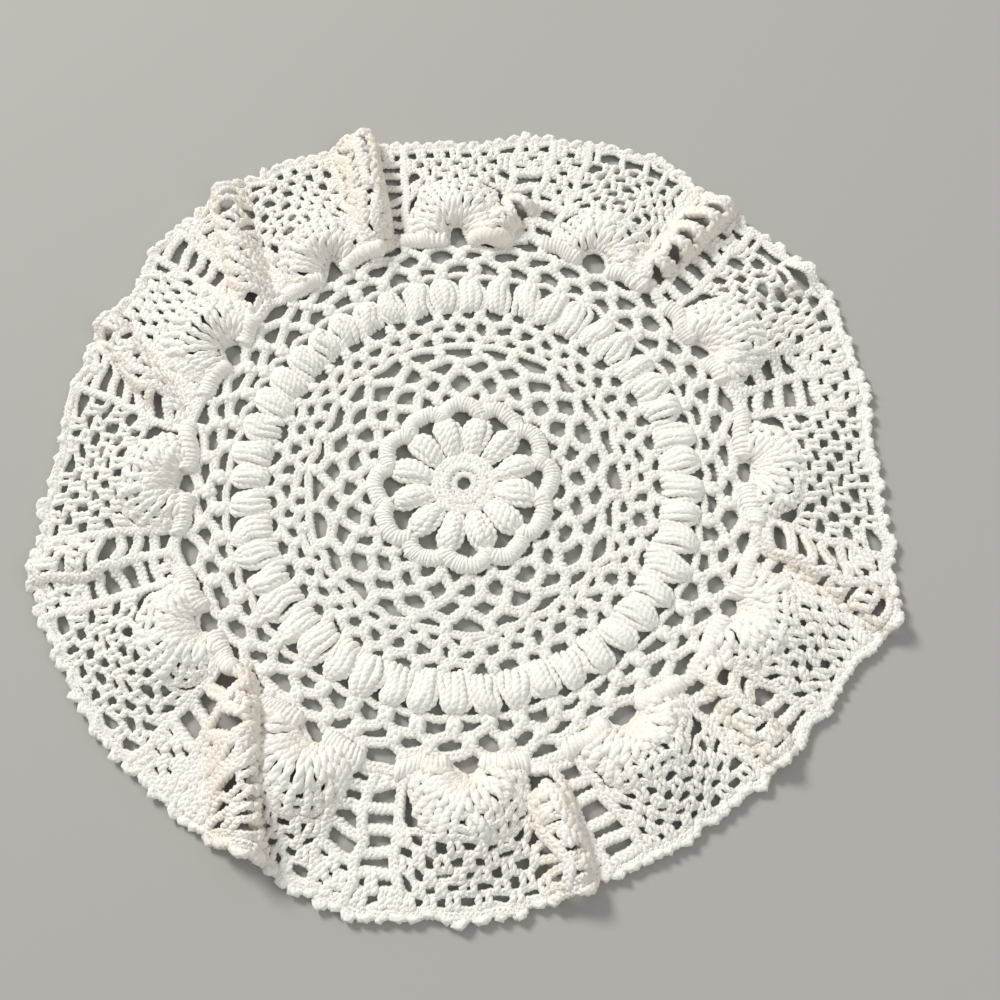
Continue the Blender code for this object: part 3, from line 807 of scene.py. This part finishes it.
def shell(piece, sector):
    """The ring of a fan's base hole, the trebles round it and the close stitches on them."""
    middle, outward, sideward = fan_frame(sector)
    angles = np.arange(10) * 2.0 * np.pi / 10
    hole = BASE_HOLES[sector]
    far = np.where(np.cos(angles) > 0.0, hole + 0.9, HOLE_BACK)
    rim = (middle + outward * (far * np.cos(angles))[:, None]
           + sideward * HOLE_HALF_WIDTH * np.sin(angles)[:, None])
    piece.cord("chain", rim, 1.8, 0.74, closed=True, loose=0.15)
    for number, angle in enumerate(np.linspace(-TREBLE_SPREAD, TREBLE_SPREAD, TREBLE_COUNT)):
        reach = TREBLE_SHARE * float(shell_reach(sector, angle))
        start = math.hypot(math.cos(angle) / (hole + 1.2), math.sin(angle) / 6.6) ** -1.0
        start += 0.8 * (number % 2)
        stops = np.array((start, mix(start, reach, 0.4), mix(start, reach, 0.75), reach))
        heading = outward * math.cos(angle) + sideward * math.sin(angle)
        plan = middle + stops[:, None] * heading
        heights = (1.9 + 0.5 * (number % 2), 3.0, 3.4, 2.9)
        piece.cord("treble", plan, heights, (0.80, 1.05, 1.30, 1.38), loose=0.34)
    count = int(round(CAPS_PER_MM * TREBLES[sector]))
    for angle in np.linspace(-TREBLE_SPREAD - 0.1, TREBLE_SPREAD + 0.1, count):
        stops = np.array((0.70, 0.86, 1.02)) * float(shell_reach(sector, angle))
        heading = outward * math.cos(angle) + sideward * math.sin(angle)
        plan = middle + stops[:, None] * heading
        lift = piece.random.normal(0.0, 0.35)
        girth = 1.22 + piece.random.normal(0.0, 0.10)
        piece.cord("plump", plan, (2.3, 2.7 + lift, 2.2), girth, loose=0.42)
    angles = np.linspace(-TREBLE_SPREAD - 0.15, TREBLE_SPREAD + 0.15, 21)
    rays = outward * np.cos(angles)[:, None] + sideward * np.sin(angles)[:, None]
    for part, height in SHELL_CHAINS:
        reach = part * shell_reach(sector, angles) + 0.4 * np.cos(np.pi * np.arange(21))
        piece.cord("chain", middle + rays * reach[:, None], height, 0.80)


def mesh(piece, sector):
    """A fan's mesh: rows of chain and pairs of stitches that leave a gap in each cell."""
    rows = MESH_ROWS[sector]
    looped = sector in LOOPED_FANS
    shares = np.linspace(0.0, 1.0, rows + 1)
    if looped:
        shares[1:-1] *= LOOPED_SQUEEZE
    length = fan_place(sector, 0.0, 1.0) - fan_place(sector, 0.0, 0.0)
    girth = min(math.sqrt(float(np.hypot(*length)) / rows / ROW_HEIGHT), 1.05)
    row_girth = (0.76 if looped else 0.88) * girth
    post_girth = (0.98 if looped else 1.04) * girth
    count = 2 * MESH_CELLS + 1
    for row, share in enumerate(shares):
        swing = np.cos(np.pi * (np.arange(count) + row))
        plan = fan_place(sector, np.linspace(-1.02, 1.02, count), share - ROW_SAG * swing)
        piece.cord("chain", plan, 2.1 + 0.25 * swing, row_girth)
    for row, (low, high) in enumerate(zip(shares, shares[1:])):
        if looped and row == rows - 1:
            for across in (-0.75, -0.35, 0.05, 0.45, 0.85):
                plan = fan_place(sector, (across, across + 0.02), (low, high))
                piece.cord("chain", plan, 2.3, 0.9)
            continue
        posts = np.arange(1, MESH_CELLS) if row % 2 else np.arange(MESH_CELLS) + 0.5
        for post in posts:
            mesh_post(piece, sector, -1.0 + 2.0 * post / MESH_CELLS, low, high, post_girth)


def mesh_post(piece, sector, across, low, high, girth):
    """A pair of stitches side by side between two rows."""
    across = across + piece.random.normal(0.0, 0.012)
    for lean in (-1.0, 1.0):
        foot = fan_place(sector, across + 0.045 * lean, low)
        head = fan_place(sector, across + 0.060 * lean, high)
        plan = np.stack((foot, mix(foot, head, 0.5), head))
        piece.cord("post", plan, (2.1, 2.6, 2.3), girth)


def fans(name, seed, sectors):
    """The shells and meshes of some of the fans."""
    piece = Crochet(name, seed)
    for sector in sectors:
        shell(piece, sector)
        mesh(piece, sector)
    return piece


def spines():
    """The ribbed bands that join the fans, and the spines between the fans."""
    piece = Crochet("spines", 67)
    for sector in range(SECTORS):
        spine = sector + 0.5
        for side in (-1.0, 1.0):
            plan = laid(spine + side * BAND_OFFS, BAND_RIDGE + BAND_RISE)
            band(piece, plan, 3.0, 2.2, 2.9, pitch=1.6, radius=0.90, slant=0.5 * side)
        offs = np.array((-0.14, -0.07, 0.0, 0.07, 0.14))
        piece.run("chain", spine + offs, (111.0, 111.7, 111.9, 111.7, 111.0), 2.7, 1.2)
        piece.run("chain", spine, np.linspace(112.0, 160.5, 12), 2.6, 1.15)
    return piece


def ladders():
    """The ladders on both sides of each spine, and the cords at the sides of the fans."""
    piece = Crochet("ladders", 68)
    for sector in range(SECTORS):
        for side in (-1.0, 1.0):
            ladder(piece, sector, side)
            turn = sector + 0.5 + side * LADDER_SIDE
            piece.run("chain", turn, np.linspace(LADDER_START, 160.0, 10), 2.3, 1.15)
    for spine, off, start, end in FOLD_CORDS:
        piece.run("chain", spine + 0.5 + off, np.linspace(start, end, 9), 2.5, 1.25)
    return piece


def spine_ring(sector, radius):
    """Give the ring that lies at a radius on the spine after a fan."""
    base = 0.5 * (BASE[sector] + BASE[(sector + 1) % SECTORS])
    return BASE_RING + (radius - base) * (EDGE_RING - BASE_RING) / (CORNER[sector] - base)


def ladder(piece, sector, side):
    """One side of a ladder: open gaps between rungs, and close rows before and after them."""
    first, step, gaps = LADDERS[sector][:3] if side < 0.0 else LADDERS[sector][3:]
    opened = [spine_ring(sector, first + step * number) for number in range(gaps + 1)]
    for ring in opened:
        rung(piece, sector, side, ring, 1.22 * (step / LADDER_STEP) ** 0.8)
    close(piece, sector, side, LADDER_START, opened[0])
    close(piece, sector, side, opened[-1], MESH_END)


def rung(piece, sector, side, ring, girth):
    """A chain from the side of a ladder to the spine."""
    spine = sector + 0.5
    offs = side * np.array((LADDER_SIDE - 0.01, 0.13, 0.07, 0.01))
    sag = np.array((-1.0, -0.9, -0.3, 0.6))
    piece.run("chain", spine + offs, ring + sag, (2.2, 2.0, 2.0, 2.4), girth)


def close(piece, sector, side, start, end):
    """Rows that close a ladder from one ring to another, but for small gaps."""
    rows = int(round((end - start) / CLOSE_PITCH))
    spine = sector + 0.5
    for row in range(rows):
        low = mix(start, end, row / rows)
        high = mix(start, end, (row + 1.0) / rows)
        rung(piece, sector, side, high if start > BASE_RING + 10.0 else low, 0.9)
        for off in ((0.05, 0.145) if row % 2 else (0.095,)):
            for lean in (-0.012, 0.012):
                turn = spine + side * off + lean
                piece.run("post", (turn, turn + 0.15 * lean), (low, high), 2.4, 1.1)


def edging():
    """The round of small bumps at the edge."""
    piece = Crochet("edging", 71)
    turns = np.arange(0.0, SECTORS - 0.001, 0.125)
    rings = 160.6 + 0.4 * np.cos(16.0 * np.pi * turns + 0.5)
    piece.run("chain", turns, rings, 2.1, 1.0, closed=True, loose=0.3)
    for number in range(BUMPS):
        turn = number * SECTORS / BUMPS
        outward = unit(laid(turn, EDGE_RING + 1.0) - laid(turn, EDGE_RING))
        sideward = np.array((-outward[1], outward[0]))
        place = laid(turn, 161.9) + outward * piece.random.normal(0.0, 0.45)
        tilt = piece.random.normal(0.0, 0.3)
        along = sideward * math.cos(tilt) + outward * math.sin(tilt)
        arc = outward * np.array((-0.8, 0.4, 0.4, -0.8))[:, None]
        plan = place + along * np.array((-2.3, -0.9, 0.9, 2.3))[:, None] + arc
        piece.cord("plump", plan, (1.9, 2.3, 2.3, 1.9), (1.0, 1.25, 1.25, 1.0), loose=0.3)
    return piece


# ------------------------ looks

# Colours of the yarn where it lies flat, in paler and deeper patches, and a darker, warmer
# colour painted on steep folds as shade.
PALE_YARN = (0.93, 0.905, 0.855, 1.0)
DEEP_YARN = (0.90, 0.868, 0.800, 1.0)
# painted shade: darker, warmer yarn colour that stands in for the shading on steep fold walls
FOLD_SHADE_YARN = (0.84, 0.76, 0.64, 1.0)
PATCHES = 45.0              # to a metre
FIBRES = 1600.0             # to a metre
PLIES = 3.0
PLY_PITCH = 1.5             # millimetres of a strand from one ply to the next
PLY_SHARE = 0.35            # how strong the plies are beside the fibres


def set_inputs(node, values):
    """Set a node's inputs by name."""
    for name, value in values.items():
        node.inputs[name].default_value = value


def new_material(name):
    """Make a material, and give its node tree and shader too."""
    material = bpy.data.materials.new(name)
    material.use_nodes = True
    return material, material.node_tree, material.node_tree.nodes["Principled BSDF"]


def cotton():
    """Matte ivory cotton yarn: plied strands, fine fibres, and a darker, warmer painted shade on
    the steep folds.
    """
    material, tree, shader = new_material("ivory_cotton")
    nodes, links = tree.nodes, tree.links
    set_inputs(shader, {"Roughness": 0.92, "Specular IOR Level": 0.25})
    set_inputs(shader, {"Sheen Weight": 0.15, "Sheen Roughness": 0.5})
    place = nodes.new("ShaderNodeTexCoord")
    patches = nodes.new("ShaderNodeTexNoise")
    set_inputs(patches, {"Scale": PATCHES, "Detail": 3.0})
    links.new(place.outputs["Object"], patches.inputs["Vector"])
    pale = nodes.new("ShaderNodeMix")
    pale.data_type = "RGBA"
    set_inputs(pale, {"A": PALE_YARN, "B": DEEP_YARN})
    links.new(patches.outputs["Fac"], pale.inputs["Factor"])
    # The cloth's steepness mixes painted shade into the colour on the folds.
    shade_on_folds = nodes.new("ShaderNodeAttribute")
    shade_on_folds.attribute_name = "shade_on_folds"
    shade_share = nodes.new("ShaderNodeMapRange")
    set_inputs(shade_share, {"From Min": 0.02, "From Max": 0.30, "To Max": 0.55})
    links.new(shade_on_folds.outputs["Fac"], shade_share.inputs["Value"])
    painted_shade = nodes.new("ShaderNodeMix")
    painted_shade.data_type = "RGBA"
    set_inputs(painted_shade, {"B": FOLD_SHADE_YARN})
    links.new(pale.outputs["Result"], painted_shade.inputs["A"])
    links.new(shade_share.outputs["Result"], painted_shade.inputs["Factor"])
    links.new(painted_shade.outputs["Result"], shader.inputs["Base Color"])
    add_twist(nodes, links, shader, place)
    return material


def add_math(nodes, links, operation, *values):
    """Add a math node and give its output. Each value is a number or a node's output."""
    node = nodes.new("ShaderNodeMath")
    node.operation = operation
    for socket, value in zip(node.inputs, values):
        if isinstance(value, float):
            socket.default_value = value
        else:
            links.new(value, socket)
    return node.outputs["Value"]


def add_twist(nodes, links, shader, place):
    """Bump of the plies that wind round each strand, and of single fibres."""
    yarn = nodes.new("ShaderNodeUVMap")
    yarn.uv_map = "yarn"
    spot = nodes.new("ShaderNodeSeparateXYZ")
    links.new(yarn.outputs["UV"], spot.inputs["Vector"])
    around = add_math(nodes, links, "MULTIPLY", spot.outputs["X"], 2.0 * math.pi * PLIES)
    along = add_math(nodes, links, "MULTIPLY_ADD", spot.outputs["Y"], 2.0 * math.pi / PLY_PITCH,
                     around)
    ply = add_math(nodes, links, "SINE", along)
    fibres = nodes.new("ShaderNodeTexNoise")
    set_inputs(fibres, {"Scale": FIBRES, "Detail": 2.0})
    links.new(place.outputs["Object"], fibres.inputs["Vector"])
    height = add_math(nodes, links, "MULTIPLY_ADD", ply, PLY_SHARE, fibres.outputs["Fac"])
    bump = nodes.new("ShaderNodeBump")
    set_inputs(bump, {"Strength": 0.6, "Distance": 0.00025})
    links.new(height, bump.inputs["Height"])
    links.new(bump.outputs["Normal"], shader.inputs["Normal"])


# ------------------------ floor, light, camera

CAMERA_AT = (0.014363, -0.161835, 0.364454)
CAMERA_TO = (0.014363, -0.012115, 0.0)
CAMERA_ROLL = math.radians(-0.87575)
CAMERA_LENS = 36.905        # on a sensor 36 mm wide

FLOOR_HALF = 3.0
FLOOR_DROP = 0.0002         # the floor lies this far under the doily
FLOOR_COLOUR = (0.42, 0.40, 0.375, 1.0)
SKY_COLOUR = (0.95, 0.97, 1.0, 1.0)
SKY_STRENGTH = 0.45

LAMPS = (
    # name   place             width watts colour
    ("key",  (-1.5, 1.5, 1.8), 0.80, 64.0, (1.0, 0.985, 0.96)),
    ("fill", (1.0, -0.6, 1.2), 1.20, 5.0,  (1.0, 0.98, 0.96)),
)


def set_camera():
    """The view from above the front edge."""
    data = bpy.data.cameras.new("view")
    data.sensor_width = 36.0
    data.lens = CAMERA_LENS
    data.clip_start = 0.01
    camera = add_object("view", data)
    aim = (Vector(CAMERA_TO) - Vector(CAMERA_AT)).normalized()
    right = aim.cross(Vector((0.0, 0.0, 1.0))).normalized()
    up = right.cross(aim)
    cosine, sine = math.cos(CAMERA_ROLL), math.sin(CAMERA_ROLL)
    right, up = right * cosine + up * sine, up * cosine - right * sine
    matrix = Matrix((right, up, -aim)).transposed().to_4x4()
    matrix.translation = Vector(CAMERA_AT)
    camera.matrix_world = matrix
    bpy.context.scene.camera = camera


def add_lamp(name, place, width, watts, colour):
    """Add a round lamp that shines on the doily's middle."""
    light = bpy.data.lights.new(name, "AREA")
    light.shape = "DISK"
    light.size = width
    light.energy = watts
    light.color = colour
    lamp = add_object(name, light)
    lamp.location = place
    lamp.rotation_euler = (-Vector(place)).to_track_quat("-Z", "Y").to_euler()


def set_stage():
    """A plain pale floor and soft studio light from the upper left."""
    mesh = bpy.data.meshes.new("floor")
    half = FLOOR_HALF
    corners = [(-half, -half, 0.0), (half, -half, 0.0), (half, half, 0.0), (-half, half, 0.0)]
    mesh.from_pydata(corners, [], [(0, 1, 2, 3)])
    material, _, shader = new_material("floor")
    set_inputs(shader, {"Base Color": FLOOR_COLOUR, "Roughness": 0.9})
    mesh.materials.append(material)
    floor = add_object("floor", mesh)
    floor.location = (0.0, 0.0, -FLOOR_DROP)
    for lamp in LAMPS:
        add_lamp(*lamp)
    world = bpy.data.worlds.new("studio")
    world.use_nodes = True
    background = world.node_tree.nodes["Background"]
    set_inputs(background, {"Color": SKY_COLOUR, "Strength": SKY_STRENGTH})
    bpy.context.scene.world = world
    bpy.context.scene.view_settings.view_transform = "Standard"


def main():
    """Dress the doily's solid in its crochet."""
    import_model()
    set_camera()
    set_stage()
    yarn = cotton()
    crochets = [
        rosette(),
        wide_net(),
        net("dense_net", 37, 0.25, DENSE_NET),
        popcorn_round(),
        net("outer_net", 53, 0.25, OUTER_NET),
        fans("fans_east", 61, (11, 0, 1, 2)),
        fans("fans_north", 62, (3, 4, 5, 6)),
        fans("fans_south", 63, (7, 8, 9, 10)),
        spines(),
        ladders(),
        edging(),
    ]
    for crochet in crochets:
        piece = crochet.make(yarn)
        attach(piece, "root")
        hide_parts("doily")


main()
